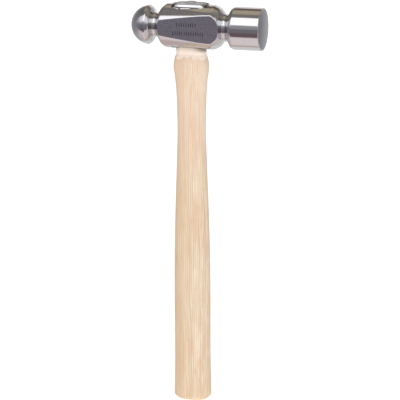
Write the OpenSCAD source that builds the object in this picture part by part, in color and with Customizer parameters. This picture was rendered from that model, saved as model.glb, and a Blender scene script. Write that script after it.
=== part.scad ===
// Ball peen hammer, 32 oz: a polished steel head on an ash handle.
// The handle stands upright on its butt. The origin is the middle of the butt face,
// +Z runs up the handle to the head, +X points to the striking face and -X to the ball.

/* [Head] */
// Height of the head's axis above the butt face
axis_z = 365.5; // [340:0.5:400]
// Distance from the handle's axis to the middle of the crowned striking face
face_x = 70.3; // [64:0.1:76]
// Height of the crown on the striking face
crown = 1.3; // [0.6:0.1:2.5]
// Diameter of the poll
poll_d = 40; // [36:0.5:42]
// Diameter of the ball
ball_d = 37.2; // [32:0.2:40]
// Distance from the handle's axis to the ball's centre
ball_x = 39.1; // [38:0.1:41]
// Height of the body between its two necks
body_h = 42; // [41:0.2:44]
// Distance between the two flat cheeks
cheek_gap = 32.6; // [30:0.2:34]
// Diameter of the tapered body at its ball end, before the cheeks are cut
body_d_ball = 35.4; // [34:0.2:38]
// Diameter of the tapered body at its poll end, before the cheeks are cut
body_d_poll = 42.6; // [42:0.2:46]

/* [Eye] */
// Length of the eye at its waist
eye_len = 28.9; // [27:0.1:30]
// Width of the eye at its waist
eye_w = 15; // [14:0.2:17]
// Extra width of the eye's upper mouth
top_flare = 1.2; // [0.6:0.1:3]
// Extra width of the eye's lower mouth
low_flare = 0.4; // [0.2:0.1:3]
// Length of the raised rim around the upper mouth
rim_len = 36; // [34:0.2:38]
// Wall of the raised rim along its sides
rim_wall = 0.7; // [0.5:0.1:2]
// How far the raised rim stands above the body
rim_h = 0.3; // [0.1:0.1:2]
// Play between wood and steel, on each side
play = 0.1; // [0.05:0.05:0.3]

/* [Handle] */
// Width at the butt
butt_w = 36; // [32:0.2:40]
// Thickness at the butt
butt_t = 27.4; // [24:0.2:30]
// Width of the grip
grip_w = 34.8; // [32:0.2:38]
// Thickness of the grip
grip_t = 26.4; // [24:0.2:30]
// Width at the waist
waist_w = 27; // [24:0.2:30]
// Thickness at the waist
waist_t = 20.6; // [18:0.2:24]
// Width at the shoulder below the head
shoulder_w = 33.8; // [33:0.2:36]
// Thickness at the shoulder below the head
shoulder_t = 25.2; // [23:0.2:28]
// Chamfer around the butt face
butt_chamfer = 3.2; // [1:0.1:5]
// Squareness of the oval section, where 2 is an ellipse
section_power = 2.3; // [2:0.1:3]

/* [Wedges] */
// How far the end of the handle stands above the eye's rim
end_proud = 0.7; // [0:0.1:2]
// Depth of the saw kerf in the end of the handle
kerf_depth = 27; // [20:0.5:30]
// Thickness of the wooden wedge at its top
wedge_t = 4.4; // [3:0.1:5]
// Thickness of the wooden wedge at its tip
wedge_tip = 1; // [0.6:0.1:1.6]
// Outer diameter of the ring wedge
ring_d = 9.6; // [8:0.2:12]
// Wall of the ring wedge at its top
ring_wall = 1.4; // [1:0.1:2]
// Length of the ring wedge
ring_len = 13; // [8:0.5:16]
// How far the ring wedge stands above the wood
ring_proud = 1.3; // [0.2:0.1:2]

/* [Hidden] */
$fn = 96;
eps = 0.01;
// How far a cutting shape reaches past the surface it cuts
over = 2;

ball_r = ball_d / 2;
poll_r = poll_d / 2;
body_r = body_h / 2;
cheek_y = cheek_gap / 2;
crease_back = 1.4;
crease_step = 0.3;
crease_x = -ball_x - crease_back;
crease_r = sqrt(ball_r * ball_r - crease_back * crease_back);
face_chamfer = 0.7;
neck_ball_x = -33.4;
neck_poll_x = 34.6;
taper_from_x = -27;
taper_to_x = 23;
cheek_inset = 2;
ridge_r = 14;
crown_r = (poll_r * poll_r + crown * crown) / (2 * crown);

end_r = eye_w / 2;
end_x = eye_len / 2 - end_r;
rim_z = body_r + rim_h;
rim_drop = 8;
rim_slope = 2.4;
rim_flare = 0.9;
pocket_drop = 6;
pocket_taper = 2.5;
pocket_inset = 0.3;
mouth_r = end_r + top_flare / 2;
rim_end_x = rim_len / 2 - mouth_r - rim_wall;
wood_end_z = rim_z + end_proud;
kerf_room = 4;
wedge_len = kerf_depth - kerf_room;
ring_taper = 0.4;
tenon_foot = 3.5;
tenon_foot_z = axis_z - body_r - tenon_foot;

function unit(v) = v / norm(v);
function turned(v, a) = [v.x * cos(a) - v.y * sin(a), v.x * sin(a) + v.y * cos(a)];
function cross2(a, b) = a.x * b.y - a.y * b.x;

// Points of the arc that rounds the corner at b, between its neighbours a and c
function corner(a, b, c, radius, steps = 8) =
    let (to_a = unit(a - b), to_c = unit(c - b), half = acos(to_a * to_c) / 2,
         centre = b + unit(to_a + to_c) * radius / sin(half),
         first = b + to_a * radius / tan(half) - centre,
         sweep = (cross2(to_a, to_c) > 0 ? -1 : 1) * (180 - 2 * half))
    [for (i = [0:steps]) centre + turned(first, sweep * i / steps)];

// A polyline of [x, r, radius] rows with each inner corner rounded to its radius
function rounded(rows) = [
    for (i = [0:len(rows) - 1])
        let (p = [rows[i].x, rows[i].y])
        each (i == 0 || i == len(rows) - 1 || rows[i].z == 0) ? [p]
            : corner([rows[i - 1].x, rows[i - 1].y], p, [rows[i + 1].x, rows[i + 1].y], rows[i].z)];

// Half outline of the turned head behind the ball: distance along the axis, radius there
// and rounding of the corner
head_outline = rounded([
    [crease_x - 1, crease_r - crease_step, 0],
    [crease_x, crease_r - crease_step, 0],
    [-37.4, 16.4, 5],
    [neck_ball_x, 8.4, 3],
    [-27.4, 17.6, 6],
    [-22.6, body_r, 3],
    [23, body_r, 7],
    [28.8, 18, 6],
    [neck_poll_x, 10.6, 3],
    [40, 18.9, 3],
    [42.6, poll_r, 3],
    [face_x - crown - face_chamfer, poll_r, 0],
    [face_x - crown + 0.2, poll_r - face_chamfer, 0],
    [face_x + 1, poll_r - face_chamfer, 0]]);

module turned_about_x() rotate([0, 90, 0]) rotate_extrude() children();

module turned_blank() {
    intersection() {
        union() {
            turned_about_x()
                polygon([for (p = concat([[crease_x - 1, 0]], head_outline, [[face_x + 1, 0]])) [p.y, p.x]]);
            intersection() {
                translate([-ball_x, 0, 0]) sphere(r = ball_r);
                translate([crease_x - ball_d, -ball_r, -ball_r]) cube(ball_d);
            }
        }
        translate([face_x - crown_r, 0, 0]) sphere(r = crown_r, $fn = 180);
    }
}

// A cone along the axis that narrows the body towards the ball. The ridge above and below
// keeps the body at its full height there
module narrowing() {
    side = 60;
    widening = (body_d_poll - body_d_ball) / 2 / (taper_to_x - taper_from_x);
    translate([neck_ball_x, 0, 0])
        rotate([0, 90, 0])
            cylinder(
                h = neck_poll_x - neck_ball_x,
                r1 = body_d_ball / 2 - (taper_from_x - neck_ball_x) * widening,
                r2 = body_d_poll / 2 + (neck_poll_x - taper_to_x) * widening);
    for (side_z = [-1, 1])
        translate([neck_ball_x, 0, side_z * (body_r - ridge_r)])
            rotate([0, 90, 0]) cylinder(h = neck_poll_x - neck_ball_x, r = ridge_r);
    translate([neck_ball_x - 2 * side, -side / 2, -side / 2]) cube([2 * side, side, side]);
    translate([neck_poll_x, -side / 2, -side / 2]) cube([side, side, side]);
}

// A straight-sided oval post with round ends, centred at a distance reach from the middle
module oval_post(outline, reach) {
    for (x = [-reach, reach])
        translate([x, 0, 0]) rotate_extrude() polygon(outline);
    rotate([90, 0, 90])
        translate([0, 0, -reach])
            linear_extrude(2 * reach)
                polygon(concat(outline, [for (i = [len(outline) - 1:-1:0]) [-outline[i].x, outline[i].y]]));
}

// Radius at the ends of the eye against height above the head's axis, less the play
function eye_outline(less, low, high) = [
    [0, low],
    [end_r + low_flare / 2 - less, low],
    [end_r + low_flare / 2 - less, -body_r],
    [end_r - less, -4],
    [end_r - less, 2],
    [mouth_r - less, rim_z],
    [mouth_r - less, high],
    [0, high]];

module eye(less, low, high) oval_post(eye_outline(less, low, high), end_x);

module eye_rim() {
    top_r = mouth_r + rim_wall;
    oval_post([
        [0, rim_z - rim_drop],
        [top_r + rim_flare, rim_z - rim_drop],
        [top_r + rim_flare, rim_z - rim_flare * rim_slope],
        [top_r, rim_z],
        [0, rim_z]], rim_end_x);
}

// Opens the ends of the upper mouth beyond the wood
module end_pockets() {
    top_r = mouth_r - pocket_inset;
    oval_post([
        [0, rim_z - pocket_drop],
        [top_r - pocket_taper, rim_z - pocket_drop],
        [top_r, rim_z],
        [top_r, rim_z + over],
        [0, rim_z + over]], rim_end_x);
}

module hammer_head() {
    color([0.62, 0.62, 0.65])
        translate([0, 0, axis_z])
            difference() {
                union() {
                    intersection() {
                        turned_blank();
                        narrowing();
                    }
                    eye_rim();
                }
                eye(0, -body_r - over, rim_z + over);
                end_pockets();
                for (side = [-1, 1])
                    translate([neck_ball_x + cheek_inset, side * (cheek_y + body_r / 2), 0])
                        translate([0, -body_r / 2, -body_r - over])
                            cube([neck_poll_x - neck_ball_x - 2 * cheek_inset, body_r, body_h + 2 * over]);
            }
}

// Height, width and thickness of the handle, from the butt to the foot of the tenon
stations = [
    [0, butt_w, butt_t],
    [14, butt_w - 0.3, butt_t - 0.2],
    [45, grip_w, grip_t],
    [115, grip_w, grip_t],
    [152, grip_w - 0.9, grip_t - 0.4],
    [192, 31.8, 24.2],
    [238, 28.6, 21.8],
    [270, waist_w, waist_t],
    [297, 28.1, 21.4],
    [315, 30.5, 23.2],
    [328.4, shoulder_w, shoulder_t],
    [336, 31.7, 21.6],
    [tenon_foot_z, eye_len + low_flare - 4 * play, eye_w + low_flare - 4 * play]];
ring_points = 32;
ring_gap = 9;
ring_heights = concat(
    [0, butt_chamfer],
    [for (z = [14:ring_gap:tenon_foot_z - 4]) z],
    [tenon_foot_z]);

function secant(rows, i, k) = (rows[i + 1][k] - rows[i][k]) / (rows[i + 1][0] - rows[i][0]);

// Slope at a station: flat at the ends and at each high or low spot
function slope(rows, i, k) =
    i == 0 || i == len(rows) - 1 ? 0
    : let (a = secant(rows, i - 1, k), b = secant(rows, i, k))
      a * b <= 0 ? 0 : 2 * a * b / (a + b);

// Smooth value of column k at height z
function at(rows, z, k) =
    let (i = max([for (j = [0:len(rows) - 2]) if (rows[j][0] <= z) j]),
         h = rows[i + 1][0] - rows[i][0], t = (z - rows[i][0]) / h)
    rows[i][k] * (2 * t * t * t - 3 * t * t + 1) + rows[i + 1][k] * (3 * t * t - 2 * t * t * t)
    + h * slope(rows, i, k) * (t * t * t - 2 * t * t + t) + h * slope(rows, i + 1, k) * (t * t * t - t * t);

function power_of(v) = sign(v) * pow(abs(v), 2 / section_power);
function section(w, t, z) = [
    for (i = [0:ring_points - 1])
        let (a = 360 * i / ring_points)
        [w / 2 * power_of(cos(a)), t / 2 * power_of(sin(a)), z]];

module handle_body() {
    rings = [for (z = ring_heights)
        let (inset = z == 0 ? 2 * butt_chamfer : 0)
        section(at(stations, z, 1) - inset, at(stations, z, 2) - inset, z)];
    n = ring_points;
    last = len(rings) - 1;
    polyhedron(
        points = [for (ring = rings) each ring],
        faces = concat(
            [[for (i = [0:n - 1]) i]],
            [for (k = [0:last - 1]) for (i = [0:n - 1])
                [k * n + i, (k + 1) * n + i, (k + 1) * n + (i + 1) % n, k * n + (i + 1) % n]],
            [[for (i = [n - 1:-1:0]) last * n + i]]));
}

// The tenon spreads sideways with the eye, but keeps its sawn length above the waist
module tenon() {
    intersection() {
        eye(play, tenon_foot_z - axis_z - 1, wood_end_z);
        union() {
            translate([-body_h / 2, -body_h / 2, -body_h]) cube(body_h);
            translate([play - eye_len / 2, -body_h / 2, -eps]) cube([eye_len - 2 * play, body_h, body_h]);
        }
    }
}

module wedge_blank(depth, gap) {
    top_t = wedge_t + gap;
    low_t = wedge_tip + gap;
    translate([-eye_len / 2, 0, wood_end_z])
        rotate([90, 0, 90])
            linear_extrude(eye_len)
                polygon([[-top_t / 2, eps], [-low_t / 2, -depth], [low_t / 2, -depth], [top_t / 2, eps]]);
}

module ring_solid(gap) {
    top = ring_proud;
    rotate_extrude()
        polygon([
            [ring_d / 2 - ring_wall - gap, top],
            [ring_d / 2 + gap, top],
            [ring_d / 2 - ring_taper + gap, top - ring_len - gap],
            [ring_d / 2 - ring_taper - ring_wall / 3 - gap, top - ring_len - gap]]);
}

module handle() {
    color([0.89, 0.78, 0.63]) {
        difference() {
            union() {
                handle_body();
                translate([0, 0, axis_z]) tenon();
            }
            translate([0, 0, axis_z]) wedge_blank(kerf_depth, 0.1);
            translate([0, 0, axis_z + wood_end_z]) ring_solid(0.05);
        }
    }
}

module wooden_wedge() {
    color([0.80, 0.66, 0.47])
        translate([0, 0, axis_z])
            difference() {
                intersection() {
                    wedge_blank(wedge_len, 0);
                    tenon();
                }
                translate([0, 0, wood_end_z]) ring_solid(0.05);
            }
}

module ring_wedge() {
    color([0.72, 0.73, 0.76])
        translate([0, 0, axis_z + wood_end_z]) ring_solid(0);
}

hammer_head();
handle();
wooden_wedge();
ring_wedge();
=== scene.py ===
"""Looks of the ball peen hammer: a polished steel head on a pale ash handle, standing on its butt.

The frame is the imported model's: origin at the middle of the butt face, +Z up the handle, +X towards the
striking face and -X towards the ball. Shapes are worked out in millimetres and scaled when a mesh is made."""

import math

import bmesh
import bpy
import numpy as np
from mathutils import Matrix, Vector


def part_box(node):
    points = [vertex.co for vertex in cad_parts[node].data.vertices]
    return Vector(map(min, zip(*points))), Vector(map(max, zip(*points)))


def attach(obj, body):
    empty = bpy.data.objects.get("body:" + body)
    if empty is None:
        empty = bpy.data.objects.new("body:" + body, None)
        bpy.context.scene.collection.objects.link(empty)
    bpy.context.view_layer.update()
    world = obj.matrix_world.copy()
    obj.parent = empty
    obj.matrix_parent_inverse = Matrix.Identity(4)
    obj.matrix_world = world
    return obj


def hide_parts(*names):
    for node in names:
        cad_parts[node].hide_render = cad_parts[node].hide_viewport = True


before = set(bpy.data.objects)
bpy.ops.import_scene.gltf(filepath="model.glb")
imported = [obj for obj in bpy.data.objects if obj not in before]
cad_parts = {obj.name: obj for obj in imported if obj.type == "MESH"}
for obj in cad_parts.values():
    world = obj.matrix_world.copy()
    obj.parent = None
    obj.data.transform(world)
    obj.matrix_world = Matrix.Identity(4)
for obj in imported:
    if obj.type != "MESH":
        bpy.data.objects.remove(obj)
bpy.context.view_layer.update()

MM = 0.001

# ---- The head, measured from its axis: x along it from the handle's axis, z up
head_low, head_high = (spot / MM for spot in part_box("hammer_head"))
body_r = 21.0
axis_z = head_low.z + body_r
rim_z = head_high.z - axis_z
face_x = head_high.x
crown = 1.3
poll_r = 20.0
ball_r = 18.6
ball_x = head_low.x + ball_r
crease_x = ball_x - 1.4
neck_ball_x = -33.4
neck_poll_x = 34.6
cheek_y = 16.3
# the body's taper before the cheeks are cut: its radius at one place, and what it gains for each mm of x
taper_x = -27
taper_r = 17.7
taper_gain = 0.073
flank_lean = math.radians(41)
# how softly the surfaces run into each other
taper_blend = 0.8
rim_edge = 0.35
rim_foot = 0.4
cheek_edge = 0.4

# ---- The eye, an oval: radius of its ends at three heights, and half the distance between their centres
eye_end_x = 6.95
eye_waist_r = 7.5
eye_top_r = 8.1
eye_low_r = 7.7
rim_wall = 0.7
rim_slope = 2.4
rim_flare = 0.9
rim_end_x = 9.2
rim_room = 2.5
pocket_r = 7.8
pocket_low_r = 5.3
pocket_drop = 6

# ---- The two rows of ticks on the front cheek: height above the axis, x of the first tick, and how many
tick_rows = ((3.6, -9.0, 9), (-4.4, -13.0, 14))
tick_gap = 2.2
tick_half_width = 0.5
tick_half_height = 1.7
tick_depth = 0.3
# the part of the cheek that holds them
ticks_low_x = -14
ticks_high_x = 18
ticks_half_height = 6.4

# ---- The handle, measured from the butt: height, width and thickness at its stations
stations = np.array([
    [0, 36.0, 27.4],
    [14, 35.7, 27.2],
    [45, 34.8, 26.4],
    [115, 34.8, 26.4],
    [152, 33.9, 26.0],
    [192, 31.8, 24.2],
    [238, 28.6, 21.8],
    [270, 27.0, 20.6],
    [297, 28.1, 21.4],
    [315, 30.5, 23.2],
    [328.4, 33.8, 25.2],
    [336, 31.7, 21.6],
    [341, 28.9, 15.0]])
section_power = 2.3
butt_chamfer = 3.2
butt_end = 20
shave_low = 335.6
shave_curve = 1.4
shave_depth = 0.15
shave_count = 11
# how far above the lacquer's edge the wood is fully bare
bare_from = 1.6
play = 0.1
# the height where the handle has the eye's shape, just under the head
tenon_z = axis_z - body_r - 2
wood_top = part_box("handle")[1].z / MM - axis_z
wood_half_len = eye_end_x + eye_waist_r - play
handle_columns = 160

# ---- The wedges: the wooden one fills a saw kerf along the eye, the steel ring is driven in over it
kerf_depth = 27
kerf_top = 4.6
kerf_low = 1.2
ring_r = 4.8
ring_wall = 1.4
ring_taper = 0.4
ring_low, ring_high = (spot.z / MM - axis_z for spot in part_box("ring_wedge"))


# ================================================================ outlines and meshes

def corner(a, b, c, radius, steps=7):
    """Points of the arc that rounds the corner b between its neighbours a and c."""
    a, b, c = (np.array(p[:2], float) for p in (a, b, c))
    to_a = (a - b) / np.linalg.norm(a - b)
    to_c = (c - b) / np.linalg.norm(c - b)
    half = math.acos(np.clip(to_a @ to_c, -1, 1)) / 2
    middle = (to_a + to_c) / np.linalg.norm(to_a + to_c)
    centre = b + middle * radius / math.sin(half)
    first = b + to_a * radius / math.tan(half) - centre
    turn = -1 if to_a[0] * to_c[1] - to_a[1] * to_c[0] > 0 else 1
    angles = turn * (math.pi - 2 * half) * np.linspace(0, 1, steps + 1)
    return [centre + np.array([first[0] * math.cos(t) - first[1] * math.sin(t),
                               first[0] * math.sin(t) + first[1] * math.cos(t)]) for t in angles]


def rounded(rows):
    """A polyline of (x, y, radius) rows with each inner corner rounded to its radius."""
    out = [np.array(rows[0][:2], float)]
    for i in range(1, len(rows) - 1):
        before, here, after = rows[i - 1:i + 2]
        out += corner(before, here, after, here[2]) if here[2] else [np.array(here[:2])]
    return out + [np.array(rows[-1][:2], float)]


def refined(points, gap):
    """The polyline with its long pieces divided, so that no piece is longer than gap."""
    out = [points[0]]
    for p, q in zip(points, points[1:]):
        pieces = max(1, math.ceil(np.linalg.norm(q - p) / gap))
        out += [p + (q - p) * k / pieces for k in range(1, pieces + 1)]
    return np.array(out)


def soft_min(a, b, k):
    """The lower of two values, rounded over where they are closer than k."""
    h = np.maximum(k - np.abs(a - b), 0) / k
    return np.minimum(a, b) - h * h * k / 4


def soft_max(a, b, k):
    return -soft_min(-a, -b, k)


def smooth_step(low, high, v):
    t = np.clip((v - low) / (high - low), 0, 1)
    return t * t * (3 - 2 * t)


def mesh_from(name, points, faces):
    """A mesh from points in millimetres, with its faces turned outwards."""
    mesh = bpy.data.meshes.new(name)
    mesh.from_pydata((np.array(points) * MM).tolist(), [], faces)
    bm = bmesh.new()
    bm.from_mesh(mesh)
    bmesh.ops.recalc_face_normals(bm, faces=bm.faces)
    bm.to_mesh(mesh)
    bm.free()
    return mesh


def band_faces(rings, count, closed=False):
    """Faces between neighbouring rings of count points each, and from the last to the first if closed."""
    faces = []
    for k in range(rings if closed else rings - 1):
        low, high = k * count, (k + 1) % rings * count
        for i in range(count):
            j = (i + 1) % count
            faces.append((low + i, low + j, high + j, high + i))
    return faces


def tube_mesh(name, rings, first_tip, last_tip):
    """A closed mesh from rings of points, closed by a fan at each end."""
    count = len(rings[0])
    points = np.concatenate([np.concatenate(rings), [first_tip, last_tip]])
    faces = band_faces(len(rings), count)
    last = (len(rings) - 1) * count
    tips = len(points) - 2
    for i in range(count):
        j = (i + 1) % count
        faces.append((tips, j, i))
        faces.append((tips + 1, last + i, last + j))
    return mesh_from(name, points, faces)


# the faces of a block from its eight corners, four around one end and four around the other
BOX_FACES = ((0, 1, 2, 3), (7, 6, 5, 4), (0, 4, 5, 1), (1, 5, 6, 2), (2, 6, 7, 3), (3, 7, 4, 0))


def lathe_mesh(name, outline, columns):
    """A ring turned about the handle's axis from a closed outline of (radius, z) points."""
    angle = np.linspace(0, 2 * math.pi, columns, endpoint=False)
    rings = [np.stack([r * np.cos(angle), r * np.sin(angle), np.full(columns, z)], 1) for r, z in outline]
    return mesh_from(name, np.concatenate(rings), band_faces(len(rings), columns, closed=True))


def add_object(name, mesh):
    obj = bpy.data.objects.new(name, mesh)
    bpy.context.scene.collection.objects.link(obj)
    return obj


def cut_away(obj, cutter_mesh):
    """Takes the cutter's volume out of obj and leaves no modifier behind."""
    cutter = add_object("cutter", cutter_mesh)
    cut = obj.modifiers.new("cut", "BOOLEAN")
    cut.operation = "DIFFERENCE"
    cut.solver = "EXACT"
    cut.object = cutter
    bpy.context.view_layer.update()
    result = bpy.data.meshes.new_from_object(obj.evaluated_get(bpy.context.evaluated_depsgraph_get()))
    obj.modifiers.clear()
    obj.data = result
    bpy.data.objects.remove(cutter)


def shade(obj, sharp_angle):
    obj.data.shade_smooth()
    obj.data.set_sharp_from_angle(angle=math.radians(sharp_angle))


# ================================================================ the steel head

def head_meridian():
    """The turned outline from the ball's tip to the middle of the face: rows of x and radius."""
    start = math.acos((crease_x - ball_x) / ball_r)
    ball = [np.array([ball_x + ball_r * math.cos(t), ball_r * math.sin(t)])
            for t in np.linspace(math.pi - 0.03, start, 32)]
    crease_r = ball[-1][1]
    back = rounded([
        (crease_x - 0.35, crease_r - 0.05, 0),
        (crease_x + 0.25, crease_r - 0.05, 0.3),
        (-37.4, 16.4, 5),
        (neck_ball_x, 8.4, 3),
        (-27.4, 17.6, 6),
        (-22.6, body_r, 3),
        (23, body_r, 7),
        (28.8, 18, 6),
        (neck_poll_x, 10.6, 3),
        (40, 18.9, 3),
        (42.6, poll_r, 3),
        (face_x - crown, poll_r, 0.8),
        (face_x - crown + 0.15, poll_r - 1.2, 0.8),
        (face_x, 0.3, 0)])[1:-1]
    crown_r = (poll_r ** 2 + crown ** 2) / (2 * crown)
    face = [np.array([face_x - crown_r + math.sqrt(crown_r ** 2 - r * r), r])
            for r in np.linspace(poll_r - 1.6, 0.4, 18)]
    # close rings where the cheeks and the eye are, fewer along the poll and over the face
    poll_from = next(i for i, point in enumerate(back) if point[0] > neck_poll_x)
    middle = refined([ball[-1]] + back[:poll_from], 0.65)
    return np.concatenate([ball[:-1], middle, refined(back[poll_from - 1:] + face, 1.1)[1:]])


def section_angles():
    """Angles of the head's columns, closer together where the cheeks and the eye's rim have their edges."""
    quarter = [np.arange(0, 22, 2), np.arange(22, 46, 0.8), np.arange(46, 62, 1.6), np.arange(62, 78, 0.5),
               np.arange(78, 91, 2)]
    quarter = np.concatenate(quarter)
    half = np.concatenate([quarter, 180 - quarter[-2:0:-1]])
    return np.radians(np.concatenate([half, half + 180]))


def rim_radius(x, angle):
    """Distance from the head's axis to the raised rim of the eye, for each angle in one section."""
    # there is no formula for it, so it is closed in on by halving
    low, high = np.full_like(angle, 1.0), np.full_like(angle, 60.0)
    for _ in range(40):
        mid = (low + high) / 2
        y, z = mid * np.cos(angle), np.abs(mid * np.sin(angle))
        out_x = max(abs(x) - rim_end_x, 0)
        wall = eye_top_r + rim_wall + np.minimum((rim_z - z) / rim_slope, rim_flare)
        inside = np.hypot(out_x, y) < wall
        low, high = np.where(inside, mid, low), np.where(inside, high, mid)
    return low


def tapered(x, angle):
    """Radius of the body's taper: a cone towards the ball, drawn out to a rounded ridge above and below."""
    cone = taper_r + (x - taper_x) * taper_gain
    steep = np.arcsin(np.minimum(np.abs(np.sin(angle)), 1))
    lean = math.sin(flank_lean)
    # a flat flank touches both the cone and the ridge, which ends at the full height of the body
    ridge_r = (cone - body_r * lean) / (1 - lean)
    centre = body_r - ridge_r
    flank = cone / np.cos(np.maximum(steep - flank_lean, 0))
    ridge = centre * np.sin(steep) + np.sqrt(np.maximum(ridge_r ** 2 - (centre * np.cos(steep)) ** 2, 0))
    flank_end = math.atan2(centre + ridge_r * lean, ridge_r * math.cos(flank_lean))
    return np.where(steep < flank_end, flank, ridge)


def head_section(x, r, angle):
    """Radius of the head at each angle from +Y in the section at x, from the turned outline's radius r."""
    if not neck_ball_x < x < neck_poll_x:
        return np.full_like(angle, r)
    radius = soft_min(r, tapered(x, angle), taper_blend)
    if abs(x) < rim_end_x + eye_top_r + rim_wall + rim_room:
        land = rim_z / np.maximum(np.sin(angle), 0.05)
        rim = soft_min(rim_radius(x, angle), land, rim_edge)
        radius = np.where(np.sin(angle) > 0, soft_max(radius, rim, rim_foot), radius)
    cheek = cheek_y / np.maximum(np.abs(np.cos(angle)), 0.05)
    return soft_min(radius, cheek, cheek_edge)


def make_head():
    angle = section_angles()
    rings = []
    for x, r in head_meridian():
        radius = head_section(x, r, angle)
        y, z = radius * np.cos(angle), axis_z + radius * np.sin(angle)
        rings.append(np.stack([np.full_like(angle, x), y, z], 1))
    mesh = tube_mesh("hammer_head_polished", rings, (head_low.x, 0, axis_z), (face_x, 0, axis_z))
    head = add_object("hammer_head_polished", mesh)
    cut_away(head, eye_cutter())
    cut_away(head, pocket_cutter())
    cut_away(head, tick_cutter())
    shade(head, 34)
    return head


def tick_cutter():
    """Two rows of plain upright ticks, pressed into the front cheek."""
    corners = [(-1, -1), (1, -1), (1, 1), (-1, 1)]
    points, faces = [], []
    for row_z, first_x, count in tick_rows:
        for k in range(count):
            x0, z0 = first_x + tick_gap * k, axis_z + row_z
            start = len(points)
            for y, spread in ((-cheek_y - 1, 1.0), (-cheek_y + tick_depth, 0.55)):
                wide = spread * tick_half_width
                points += [(x0 + wide * i, y, z0 + tick_half_height * j) for i, j in corners]
            faces += [tuple(start + i for i in face) for face in BOX_FACES]
    return mesh_from("tick_cutter", points, faces)


def oval_post(radius, angle, end_x):
    """Points of an oval with round ends of that radius about -end_x and end_x, one for each angle."""
    along, across = np.cos(angle), np.sin(angle)
    flat = radius / np.maximum(np.abs(across), 1e-6)
    end = end_x * np.abs(along) + np.sqrt(np.maximum(radius ** 2 - (end_x * across) ** 2, 0))
    reach = np.where(flat * np.abs(along) < end_x, flat, end)
    return reach * along, reach * across


def eye_radius(z):
    """Radius of the eye's ends at height z above the head's axis."""
    heights = [-body_r, -4, 2, rim_z - 0.5, rim_z, rim_z + 2]
    radii = [eye_low_r, eye_waist_r, eye_waist_r, eye_top_r - 0.05, eye_top_r + 0.2, eye_top_r + 0.2]
    return np.interp(z, heights, radii)


def oval_cutter(name, rows, end_x):
    """An upright oval block through the head, from rows of height above the head's axis and radius."""
    angle = np.linspace(0, 2 * math.pi, 144, endpoint=False)
    rings = []
    for z, radius in rows:
        x, y = oval_post(radius, angle, end_x)
        rings.append(np.stack([x, y, np.full_like(x, axis_z + z)], 1))
    return tube_mesh(name, rings, (0, 0, axis_z + rows[0][0]), (0, 0, axis_z + rows[-1][0]))


def eye_cutter():
    heights = [-body_r - 2, -body_r, -14, -4, 2, 12, rim_z - 0.5, rim_z, rim_z + 2]
    return oval_cutter("eye_cutter", [(z, eye_radius(z)) for z in heights], eye_end_x)


def pocket_cutter():
    """Opens the ends of the eye's upper mouth beyond the wood."""
    rows = [(rim_z - pocket_drop, pocket_low_r), (rim_z, pocket_r), (rim_z + 2, pocket_r)]
    return oval_cutter("pocket_cutter", rows, rim_end_x)


# ================================================================ the ash handle

def smooth_table(z, column):
    """Smooth value of a column of the stations at height z, flat at each high and low spot."""
    heights, values = stations[:, 0], stations[:, column]
    secants = np.diff(values) / np.diff(heights)
    slopes = np.zeros(len(values))
    for i in range(1, len(values) - 1):
        a, b = secants[i - 1], secants[i]
        slopes[i] = 0 if a * b <= 0 else 2 * a * b / (a + b)
    i = int(np.clip(np.searchsorted(heights, z, side="right") - 1, 0, len(values) - 2))
    h = heights[i + 1] - heights[i]
    t = min(max((z - heights[i]) / h, 0), 1)
    return (values[i] * (2 * t ** 3 - 3 * t ** 2 + 1) + values[i + 1] * (3 * t ** 2 - 2 * t ** 3)
            + h * slopes[i] * (t ** 3 - 2 * t ** 2 + t) + h * slopes[i + 1] * (t ** 3 - t ** 2))


def handle_reach(z, inset, along, across):
    """Distance from the handle's axis to its oval surface at height z, less the inset, in each direction."""
    w, t = smooth_table(z, 1) / 2 - inset, smooth_table(z, 2) / 2 - inset
    return (np.abs(along / w) ** section_power + np.abs(across / t) ** section_power) ** (-1 / section_power)


def shaved(z, angle):
    """How far above the curved lower edges of the spokeshave's cuts below the head a place is."""
    edge = np.full_like(angle, 999.0)
    for k in range(shave_count):
        turn = 2 * math.pi * (k + 0.27 * math.sin(5.1 * k)) / shave_count
        start = shave_low + 0.9 * math.sin(2.3 * k + 1)
        aside = (angle - turn + math.pi) % (2 * math.pi) - math.pi
        edge = np.minimum(edge, start + shave_curve * (aside * shave_count / math.pi) ** 2)
    return np.maximum(z - edge, 0)


def oval_ring(z, inset, angle):
    """A ring of points around the plain handle at height z, drawn in by the inset."""
    along, across = np.cos(angle), np.sin(angle)
    reach = handle_reach(z, inset, along, across)
    return np.stack([reach * along, reach * across, np.full_like(angle, z)], 1)


def tenon_ring(z, above, angle):
    """A ring where the oval is shaved down to the eye's shape, or fills the eye."""
    along, across = np.cos(angle), np.sin(angle)
    reach = handle_reach(z, 0, along, across) - shave_depth * smooth_step(0, 2, above)
    x, y = oval_post(float(eye_radius(z - axis_z)) - play, angle, eye_end_x)
    share = smooth_step(tenon_z - 4, tenon_z - 0.5, z)
    x, y = reach * along * (1 - share) + x * share, reach * across * (1 - share) + y * share
    # above the eye's waist the wood grows no longer, which leaves a gap at each of its ends
    limit = np.interp(z - axis_z, [-4, 1], [40, wood_half_len])
    return np.stack([np.clip(x, -limit, limit), y, np.full_like(angle, z)], 1)


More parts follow.
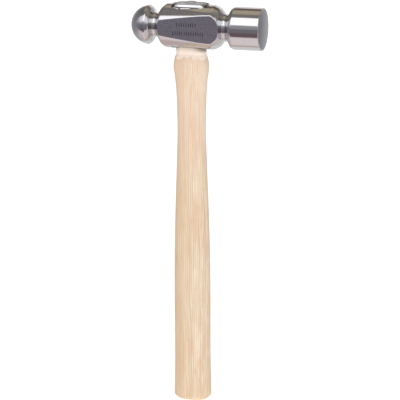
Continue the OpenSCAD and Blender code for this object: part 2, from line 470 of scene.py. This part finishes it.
def make_handle():
    angle = np.linspace(0, 2 * math.pi, handle_columns, endpoint=False)
    unshaved = np.zeros(handle_columns)
    # heights and insets of the chamfered butt, then of the plain oval
    edge = rounded([(0, 8, 0), (0, butt_chamfer, 0.7), (butt_chamfer, 0, 1.2), (butt_end, 0, 0)])
    rows = list(refined(edge, 1.5)) + [(z, 0) for z in np.arange(butt_end + 1.5, shave_low - 3, 1.6)]
    rings = [oval_ring(z, inset, angle) for z, inset in rows]
    depths = [unshaved for _ in rows]
    shaved_z = np.arange(shave_low - 2.4, tenon_z, 0.4)
    for z in np.concatenate([shaved_z, np.linspace(tenon_z, axis_z + wood_top, 30)]):
        above = shaved(z, angle)
        rings.append(tenon_ring(z, above, angle))
        depths.append(above)
    # smaller rings close the butt and the wood's end in the eye
    butt_rings = [rings[0] * [k, k, 1] for k in (0.2, 0.5, 0.8)]
    end_rings = [rings[-1] * [k, k, 1] for k in (0.97, 0.8, 0.6, 0.4, 0.2)]
    depths = [unshaved for _ in butt_rings] + depths + [unshaved + bare_from for _ in end_rings]
    mesh = tube_mesh("handle_ash", butt_rings + rings + end_rings, (0, 0, 0), (0, 0, axis_z + wood_top))
    bare = mesh.attributes.new("bare", "FLOAT", "POINT")
    bare.data.foreach_set("value", np.append(np.clip(np.concatenate(depths) / bare_from, 0, 1), [0, 1]))
    handle = add_object("handle_ash", mesh)
    cut_away(handle, kerf_cutter())
    cut_away(handle, ring_mesh("ring_cutter", 0.05))
    shade(handle, 40)
    return handle


def kerf_cutter():
    """The saw kerf in the end of the handle, opened into a wedge by the wooden wedge."""
    top, low = wood_top + 0.5, wood_top - kerf_depth
    outline = [(-kerf_top / 2, top), (-kerf_low / 2, low), (kerf_low / 2, low), (kerf_top / 2, top)]
    points = [(x, y, axis_z + z) for x in (-20, 20) for y, z in outline]
    return mesh_from("kerf_cutter", points, BOX_FACES)


# ================================================================ the ring wedge

def ring_mesh(name, gap):
    """The tapered steel ring, with its upper edge rounded over, made larger by gap for cutting its seat."""
    top, low = axis_z + ring_high, axis_z + ring_low - gap
    outer, inner = ring_r + gap, ring_r - ring_wall - gap
    foot = ring_r - ring_taper + gap
    tip = foot - ring_wall / 3 - 2 * gap
    outline = rounded([
        ((inner + outer) / 2, top, 0),
        (outer, top, 0.45),
        (foot, low, 0.1),
        (tip, low, 0.1),
        (inner, top, 0.35),
        ((inner + outer) / 2, top, 0)])[:-1]
    return lathe_mesh(name, refined(outline, 1.2), 72)


def make_ring():
    ring = add_object("ring_wedge_steel", ring_mesh("ring_wedge_steel", 0))
    shade(ring, 40)
    return ring


# ================================================================ materials

class Nodes:
    """Short calls for building a node graph."""

    def __init__(self, tree):
        self.nodes = tree.nodes
        self.links = tree.links

    def node(self, kind, **settings):
        node = self.nodes.new(kind)
        for name, value in settings.items():
            setattr(node, name, value)
        return node

    def put(self, socket, value):
        """Links the value to the socket if it comes from a node, or else sets it there."""
        if isinstance(value, bpy.types.NodeSocket):
            self.links.new(value, socket)
        elif isinstance(value, tuple) and len(value) == 3 and socket.type == "RGBA":
            socket.default_value = (*value, 1)
        else:
            socket.default_value = value

    def maths(self, kind, a, b=0.0):
        node = self.node("ShaderNodeMath", operation=kind)
        self.put(node.inputs[0], a)
        self.put(node.inputs[1], b)
        return node.outputs[0]

    def times(self, value, *factors):
        for factor in factors:
            value = self.maths("MULTIPLY", value, factor)
        return value

    def plus(self, value, *others):
        for other in others:
            value = self.maths("ADD", value, other)
        return value

    def between(self, value, low, high, out_low=0.0, out_high=1.0):
        """The value carried smoothly from low..high to out_low..out_high."""
        node = self.node("ShaderNodeMapRange", interpolation_type="SMOOTHSTEP")
        rows = {"Value": value, "From Min": low, "From Max": high, "To Min": out_low, "To Max": out_high}
        for name, number in rows.items():
            self.put(node.inputs[name], number)
        return node.outputs[0]

    def split(self, vector):
        node = self.node("ShaderNodeSeparateXYZ")
        self.put(node.inputs[0], vector)
        return node.outputs

    def mix(self, share, a, b):
        node = self.node("ShaderNodeMix", data_type="RGBA")
        self.put(node.inputs["Factor"], share)
        self.put(node.inputs["A"], a)
        self.put(node.inputs["B"], b)
        return node.outputs["Result"]

    def ramp(self, value, rows):
        """The colour at the value, from rows of place and colour."""
        node = self.node("ShaderNodeValToRGB")
        points = node.color_ramp.elements
        while len(points) < len(rows):
            points.new(0.5)
        for point, (place, color) in zip(points, rows):
            point.position = place
            point.color = (*color, 1)
        self.put(node.inputs[0], value)
        return node.outputs["Color"]


class Surface(Nodes):
    """One material, with its place on the piece in millimetres."""

    def __init__(self, name):
        self.material = bpy.data.materials.new(name)
        self.material.use_nodes = True
        super().__init__(self.material.node_tree)
        self.shader = self.nodes["Principled BSDF"]
        scaled = self.node("ShaderNodeVectorMath", operation="SCALE")
        self.put(scaled.inputs[0], self.node("ShaderNodeTexCoord").outputs["Object"])
        scaled.inputs["Scale"].default_value = 1 / MM
        self.place = scaled.outputs[0]
        self.x, self.y, self.z = self.split(self.place)

    def stretched(self, x, y, z):
        """The place in millimetres with each direction multiplied."""
        node = self.node("ShaderNodeVectorMath", operation="MULTIPLY")
        self.put(node.inputs[0], self.place)
        node.inputs[1].default_value = (x, y, z)
        return node.outputs[0]

    def vector(self, x, y, z):
        node = self.node("ShaderNodeCombineXYZ")
        for socket, value in zip(node.inputs, (x, y, z)):
            self.put(socket, value)
        return node.outputs[0]

    def noise(self, where, detail, roughness, scale=1.0):
        node = self.node("ShaderNodeTexNoise")
        self.put(node.inputs["Vector"], where)
        self.put(node.inputs["Scale"], scale)
        self.put(node.inputs["Detail"], detail)
        self.put(node.inputs["Roughness"], roughness)
        return node.outputs["Fac"]

    def bump(self, height, distance):
        """Relief from a height of 0 to 1 that stands for that distance in millimetres."""
        node = self.node("ShaderNodeBump")
        self.put(node.inputs["Height"], height)
        node.inputs["Distance"].default_value = distance * MM
        node.inputs["Strength"].default_value = 1.0
        return node.outputs["Normal"]


def steel_material():
    """Polished all over, brushed satin on the cheeks and on the striking face."""
    s = Surface("polished_steel")
    up = s.maths("SUBTRACT", s.z, axis_z)
    radius = s.maths("SQRT", s.plus(s.times(s.y, s.y), s.times(up, up)))
    aside = s.maths("ABSOLUTE", s.y)
    cheek = s.times(
        s.between(aside, cheek_y - 0.09, cheek_y - 0.02),
        s.between(s.x, neck_ball_x, neck_ball_x + 2),
        s.between(s.x, neck_poll_x, neck_poll_x - 2))
    face = s.times(s.between(s.x, face_x - crown - 0.15, face_x - crown + 0.1),
                   s.between(radius, poll_r - 0.9, poll_r - 1.3))
    # fine lines left by turning and polishing, which run around the head
    turned = s.noise(s.vector(s.times(s.x, 5.0), s.times(s.y, 0.05), s.times(up, 0.05)), 4.0, 0.65)
    smudge = s.noise(s.stretched(0.11, 0.11, 0.11), 3.0, 0.5)
    haze = s.noise(s.stretched(0.5, 0.5, 0.5), 5.0, 0.6)
    # brushing runs along the cheeks and in circles on the striking face
    brushed = s.noise(s.stretched(0.45, 1.0, 1.5), 4.0, 0.75)
    circles = s.noise(s.vector(s.times(radius, 1.6), s.times(s.y, 0.3), s.times(up, 0.3)), 4.0, 0.7)
    scratch = s.noise(s.stretched(1.1, 6.0, 0.35), 2.0, 0.4)
    scratch = s.between(scratch, 0.66, 0.72)
    bright = s.mix(smudge, (0.57, 0.562, 0.567), (0.60, 0.597, 0.605))
    bright = s.mix(s.between(turned, 0.35, 0.75), bright, (0.54, 0.533, 0.54))
    satin = s.mix(s.between(brushed, 0.3, 0.7), (0.37, 0.37, 0.42), (0.58, 0.575, 0.64))
    worn = s.mix(s.between(circles, 0.3, 0.7), (0.19, 0.188, 0.21), (0.32, 0.317, 0.342))
    color = s.mix(face, s.mix(cheek, bright, satin), worn)
    color = s.mix(s.times(scratch, 0.25), color, (0.33, 0.325, 0.33))
    # the ticks are dark at the bottom
    pressed = s.times(
        s.between(s.y, 0.02 - cheek_y, 0.12 - cheek_y),
        s.between(s.y, 1 - cheek_y, 0.5 - cheek_y),
        s.between(s.x, ticks_low_x - 0.5, ticks_low_x),
        s.between(s.x, ticks_high_x + 0.5, ticks_high_x),
        s.between(s.maths("ABSOLUTE", up), ticks_half_height + 0.2, ticks_half_height))
    color = s.mix(s.times(pressed, 0.9), color, (0.08, 0.075, 0.10))
    # painted shade: the inside of the eye is darkened, where shade falls in the hole
    mouth_half_width, mouth_half_length = eye_top_r + 0.1, rim_end_x + pocket_r
    inside = s.times(
        s.between(aside, mouth_half_width + 0.3, mouth_half_width),
        s.between(s.maths("ABSOLUTE", s.x), mouth_half_length + 0.3, mouth_half_length),
        s.between(up, rim_z - 0.05, rim_z - 0.3))
    color = s.mix(s.times(inside, 0.85), color, (0.05, 0.052, 0.048))
    s.put(s.shader.inputs["Base Color"], color)
    s.shader.inputs["Metallic"].default_value = 1
    polished = s.between(haze, 0.35, 0.75, 0.07, 0.13)
    rough = s.plus(polished, s.times(turned, 0.05), s.times(cheek, 0.24), s.times(face, 0.2))
    s.put(s.shader.inputs["Roughness"], rough)
    lines = s.plus(s.times(turned, s.maths("SUBTRACT", 1.0, cheek)), s.times(brushed, cheek, 1.2),
                   s.times(circles, face, 1.2))
    s.put(s.shader.inputs["Normal"], s.bump(s.maths("SUBTRACT", lines, scratch), 0.004))
    return s.material


def grain(s, pith_x, pith_y, gap):
    """Growth rings about a pith beside the piece, darker where the open pores of the early wood lie."""
    sway = s.maths("SUBTRACT", s.noise(s.stretched(0.035, 0.035, 0.006), 3.0, 0.5), 0.5)
    ripple = s.maths("SUBTRACT", s.noise(s.stretched(0.25, 0.25, 0.02), 2.0, 0.5), 0.5)
    aside, back = s.maths("SUBTRACT", s.x, pith_x), s.maths("SUBTRACT", s.y, pith_y)
    depth = s.maths("SQRT", s.plus(s.times(aside, aside), s.times(back, back)))
    # the trunk tapers, and the rings waver
    depth = s.plus(depth, s.times(s.z, 0.012), s.plus(s.times(sway, 9.0), s.times(ripple, 0.9)))
    year = s.maths("DIVIDE", depth, gap)
    phase = s.maths("FRACT", year)
    strength = s.noise(s.vector(s.maths("FLOOR", year), 0.0, 0.0), 0.0, 0.55, scale=3.7)
    early = s.times(s.between(phase, 0.0, 0.12), s.between(phase, 0.55, 0.2))
    pores = s.between(s.noise(s.stretched(4.2, 4.2, 0.10), 2.0, 0.6), 0.5, 0.68)
    return early, strength, pores


def tinted(color, red, green, blue):
    return (color[0] * red, color[1] * green, color[2] * blue)


def wood_material(name, pith, tone, bare_name=None):
    """Ring-porous wood, lacquered where it isn't bare if bare_name names the mesh's attribute for that."""
    s = Surface(name)
    pale, mid, dark = tone
    early, strength, pores = grain(s, pith[0], pith[1], 1.55)
    fine = s.noise(s.stretched(2.2, 2.2, 0.03), 4.0, 0.6)
    cloud = s.noise(s.stretched(0.05, 0.05, 0.012), 2.0, 0.5)
    streak = s.noise(s.stretched(0.6, 0.6, 0.009), 3.0, 0.6)
    patch = s.noise(s.stretched(0.13, 0.13, 0.028), 3.0, 0.6)
    color = s.mix(s.between(fine, 0.3, 0.7), pale, mid)
    color = s.mix(s.between(cloud, 0.35, 0.7, 0.0, 0.35), color, mid)
    # streaks and patches a little darker, redder or paler than the rest
    color = s.mix(s.between(streak, 0.5, 0.66, 0.0, 0.9), color, tinted(mid, 0.93, 0.82, 0.70))
    color = s.mix(s.between(streak, 0.47, 0.34, 0.0, 0.75), color, tinted(pale, 1.12, 1.12, 1.14))
    color = s.mix(s.between(patch, 0.5, 0.64, 0.0, 0.8), color, tinted(mid, 1.0, 0.86, 0.80))
    color = s.mix(s.between(patch, 0.48, 0.36, 0.0, 0.6), color, tinted(pale, 1.08, 1.1, 1.16))
    lines = s.times(early, s.between(strength, 0.3, 0.7, 0.25, 0.85))
    color = s.mix(lines, color, dark)
    color = s.mix(s.times(pores, s.plus(s.times(early, 0.3), 0.08)), color, tinted(dark, 0.62, 0.62, 0.62))
    # a little redder on the ball's side
    color = s.mix(s.between(s.x, -17.0, 12.0, 0.7, 0.0), color, tinted(mid, 0.93, 0.84, 0.70))
    if bare_name:
        # pinker towards the head
        color = s.mix(s.between(s.z, 170.0, 330.0, 0.0, 0.3), color, (0.86, 0.67, 0.56))
        attribute = s.node("ShaderNodeAttribute", attribute_name=bare_name)
        bare = attribute.outputs["Fac"]
        color = s.mix(s.times(bare, 0.8), color, (0.96, 0.835, 0.72))
        # painted shadow: the wood is darkened just under the round underside of the head, more towards the
        # face
        underside = s.plus(s.times(s.y, s.y, 0.5 / body_r), axis_z - body_r)
        below = s.maths("SUBTRACT", underside, s.z)
        painted_shadow = s.times(s.between(below, 0.3, 4.5, 1.0, 0.0), s.between(s.x, 1.0, 13.0, 0.3, 1.0))
        color = s.mix(painted_shadow, color, (0.33, 0.27, 0.22))
        butt = s.between(s.z, 0.35, 0.1)
        color = s.mix(s.times(butt, s.between(early, 0.0, 1.0, 0.25, 0.6)), color, dark)
        s.put(s.shader.inputs["Coat Weight"], s.between(bare, 0.0, 0.6, 0.22, 0.0))
        s.shader.inputs["Coat Roughness"].default_value = 0.3
    # the end in the eye is grey
    end = s.between(s.z, axis_z + rim_z - 0.6, axis_z + rim_z - 0.1)
    greyed_end = s.times(end, s.between(pores, 0.0, 1.0, 0.86, 0.98))
    color = s.mix(greyed_end, color, (0.42, 0.42, 0.435))
    s.put(s.shader.inputs["Base Color"], color)
    s.put(s.shader.inputs["Roughness"], s.between(fine, 0.3, 0.7, 0.45, 0.58))
    relief = s.maths("SUBTRACT", s.times(fine, 0.5), s.times(pores, early))
    s.put(s.shader.inputs["Normal"], s.bump(relief, 0.03))
    return s.material


def ring_material():
    """Plain mild steel with tool marks and darker stains."""
    s = Surface("mild_steel")
    marks = s.noise(s.stretched(2.0, 2.0, 6.0), 4.0, 0.6)
    stain = s.noise(s.stretched(0.6, 0.6, 0.6), 4.0, 0.6)
    color = s.mix(s.between(stain, 0.4, 0.7), (0.74, 0.74, 0.76), (0.5, 0.49, 0.5))
    s.put(s.shader.inputs["Base Color"], color)
    s.shader.inputs["Metallic"].default_value = 1
    s.put(s.shader.inputs["Roughness"], s.between(marks, 0.3, 0.7, 0.4, 0.6))
    s.put(s.shader.inputs["Normal"], s.bump(marks, 0.03))
    return s.material


# ================================================================ build

def dress(obj, material, replaced):
    obj.data.materials.clear()
    obj.data.materials.append(material)
    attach(obj, "root")
    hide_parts(replaced)


ASH = ((0.80, 0.665, 0.50), (0.745, 0.60, 0.43), (0.60, 0.43, 0.27))
BEECH = ((0.60, 0.44, 0.28), (0.52, 0.37, 0.22), (0.36, 0.23, 0.13))

dress(make_head(), steel_material(), "hammer_head")
dress(make_handle(), wood_material("ash", (52.0, 34.0), ASH, "bare"), "handle")
dress(make_ring(), ring_material(), "ring_wedge")


# ================================================================ camera, floor and light

def make_camera():
    """A long lens in front of the hammer, a little to the right of it and above."""
    field, distance = 12.0, 1.807
    turn, rise, roll = math.radians(16.51), math.radians(14.96), math.radians(-0.23)
    target = Vector((7.8 * MM, 0, (axis_z - 166.4) * MM))
    away = Vector((math.sin(turn) * math.cos(rise), -math.cos(turn) * math.cos(rise), math.sin(rise)))
    right = Vector((math.cos(turn), math.sin(turn), 0))
    up = away.cross(right)
    right, up = right * math.cos(roll) + up * math.sin(roll), up * math.cos(roll) - right * math.sin(roll)
    data = bpy.data.cameras.new("camera")
    data.sensor_width = 36
    data.lens = data.sensor_width / 2 / math.tan(math.radians(field / 2))
    camera = bpy.data.objects.new("camera", data)
    facing = Matrix((right, up, away)).transposed().to_4x4()
    camera.matrix_world = Matrix.Translation(target + away * distance) @ facing
    bpy.context.scene.collection.objects.link(camera)
    bpy.context.scene.camera = camera


def make_floor():
    mesh = bpy.data.meshes.new("floor")
    bm = bmesh.new()
    bmesh.ops.create_circle(bm, cap_ends=True, segments=96, radius=12)
    bm.to_mesh(mesh)
    bm.free()
    floor = add_object("floor", mesh)
    s = Surface("pale_floor")
    s.shader.inputs["Base Color"].default_value = (0.9, 0.9, 0.9, 1)
    s.shader.inputs["Roughness"].default_value = 0.9
    s.shader.inputs["Specular IOR Level"].default_value = 0
    s.shader.inputs["Emission Color"].default_value = (1, 1, 1, 1)
    s.shader.inputs["Emission Strength"].default_value = 0.6
    mesh.materials.append(s.material)
    floor.visible_glossy = False


# The studio around the head, as bands along the head's axis: the angle about that axis in degrees, from
# the front horizon up over the top to the back horizon at 180, and down under the floor to -180
STUDIO = [
    (-180, (0.92, 0.94, 0.93)),
    (-105, (0.92, 0.94, 0.93)),
    (-101, (0.78, 0.61, 0.58)),
    (-93, (0.78, 0.61, 0.58)),
    (-88, (1.06, 0.95, 0.96)),
    (-41, (1.06, 0.95, 0.96)),
    (-36, (0.20, 0.14, 0.155)),
    (-18, (0.20, 0.14, 0.155)),
    (-13, (0.24, 0.226, 0.256)),
    (4, (0.24, 0.226, 0.256)),
    (8, (0.41, 0.415, 0.44)),
    (24, (0.41, 0.415, 0.44)),
    (29, (1.9, 1.9, 1.93)),
    (66, (1.9, 1.9, 1.93)),
    (70, (0.277, 0.25, 0.236)),
    (88, (0.277, 0.25, 0.236)),
    (93, (0.577, 0.50, 0.383)),
    (119, (0.577, 0.50, 0.383)),
    (125, (0.178, 0.139, 0.113)),
    (141, (0.178, 0.139, 0.113)),
    (148, (1.01, 0.95, 0.93)),
    (176, (1.01, 0.95, 0.93)),
    (180, (0.92, 0.94, 0.93))]

# The same at its ball end, where the studio is darker
STUDIO_LEFT = [
    (-180, (0.52, 0.52, 0.52)),
    (-105, (0.60, 0.60, 0.60)),
    (-90, (0.80, 0.72, 0.73)),
    (-45, (0.92, 0.83, 0.84)),
    (-34, (0.17, 0.15, 0.175)),
    (0, (0.22, 0.21, 0.25)),
    (12, (0.30, 0.29, 0.34)),
    (32, (1.2, 1.18, 1.26)),
    (58, (1.2, 1.18, 1.26)),
    (72, (0.20, 0.20, 0.195)),
    (136, (0.18, 0.18, 0.17)),
    (158, (0.46, 0.46, 0.46)),
    (180, (0.52, 0.52, 0.52))]

# And at its face end
STUDIO_RIGHT = [
    (-180, (0.45, 0.45, 0.47)),
    (-158, (0.48, 0.48, 0.50)),
    (-138, (0.85, 0.81, 0.81)),
    (-90, (0.85, 0.78, 0.79)),
    (-42, (0.95, 0.87, 0.88)),
    (-33, (0.24, 0.20, 0.22)),
    (2, (0.26, 0.25, 0.28)),
    (12, (0.38, 0.38, 0.41)),
    (30, (1.10, 1.10, 1.13)),
    (62, (1.10, 1.10, 1.13)),
    (74, (0.25, 0.24, 0.23)),
    (110, (0.36, 0.33, 0.29)),
    (140, (0.20, 0.19, 0.18)),
    (158, (0.52, 0.51, 0.52)),
    (180, (0.45, 0.45, 0.47))]


def make_world():
    """The studio, which lights and mirrors in the hammer. The camera itself sees plain white."""
    world = bpy.data.worlds.new("studio")
    world.use_nodes = True
    s = Nodes(world.node_tree)
    s.nodes.clear()
    x, y, z = s.split(s.node("ShaderNodeTexCoord").outputs["Generated"])
    # the angle about the head's axis, with the whole turn from 0 to 1
    turns = s.maths("DIVIDE", s.maths("ARCTAN2", z, s.times(y, -1.0)), 2 * math.pi)
    about = s.plus(turns, 0.5)

    def bands(rows):
        return s.ramp(about, [(degrees / 360 + 0.5, color) for degrees, color in rows])

    def faded(color, other, low, high, most):
        """The colour, giving way to the other where X goes from low to high."""
        return s.mix(s.between(x, low, high, 0.0, most), color, other)

    studio = faded(bands(STUDIO), bands(STUDIO_LEFT), -0.33, -0.6, 1.0)
    studio = faded(studio, bands(STUDIO_RIGHT), 0.2, 0.5, 1.0)
    # straight off the ball's end the bands run together
    studio = faded(studio, (0.31, 0.295, 0.34), -0.65, -1.0, 0.9)
    both = s.node("ShaderNodeMixShader")
    s.put(both.inputs["Fac"], s.node("ShaderNodeLightPath").outputs["Is Camera Ray"])
    for socket, color in zip(both.inputs[1:], (studio, (1.0, 1.0, 1.0))):
        background = s.node("ShaderNodeBackground")
        s.put(background.inputs["Color"], color)
        s.put(socket, background.outputs[0])
    output = s.node("ShaderNodeOutputWorld")
    s.put(output.inputs["Surface"], both.outputs[0])
    bpy.context.scene.world = world


def make_lamp():
    """A big soft lamp in front and to the right, which the polished steel doesn't show."""
    data = bpy.data.lights.new("soft_lamp", "AREA")
    data.shape = "DISK"
    data.size = 1.2
    data.energy = 7.0
    lamp = bpy.data.objects.new("soft_lamp", data)
    place = Vector((1.3, -1.7, 1.1))
    lamp.location = place
    lamp.rotation_euler = (place - Vector((0, 0, 0.2))).to_track_quat("Z", "Y").to_euler()
    lamp.visible_glossy = False
    bpy.context.scene.collection.objects.link(lamp)


make_camera()
make_floor()
make_world()
make_lamp()
bpy.context.scene.view_settings.view_transform = "Standard"

# the wooden wedge keeps its CAD shape and gets its own wood
wooden_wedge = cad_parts["wooden_wedge"]
wooden_wedge.data.materials.clear()
wooden_wedge.data.materials.append(wood_material("beech", (-30.0, 40.0), BEECH))
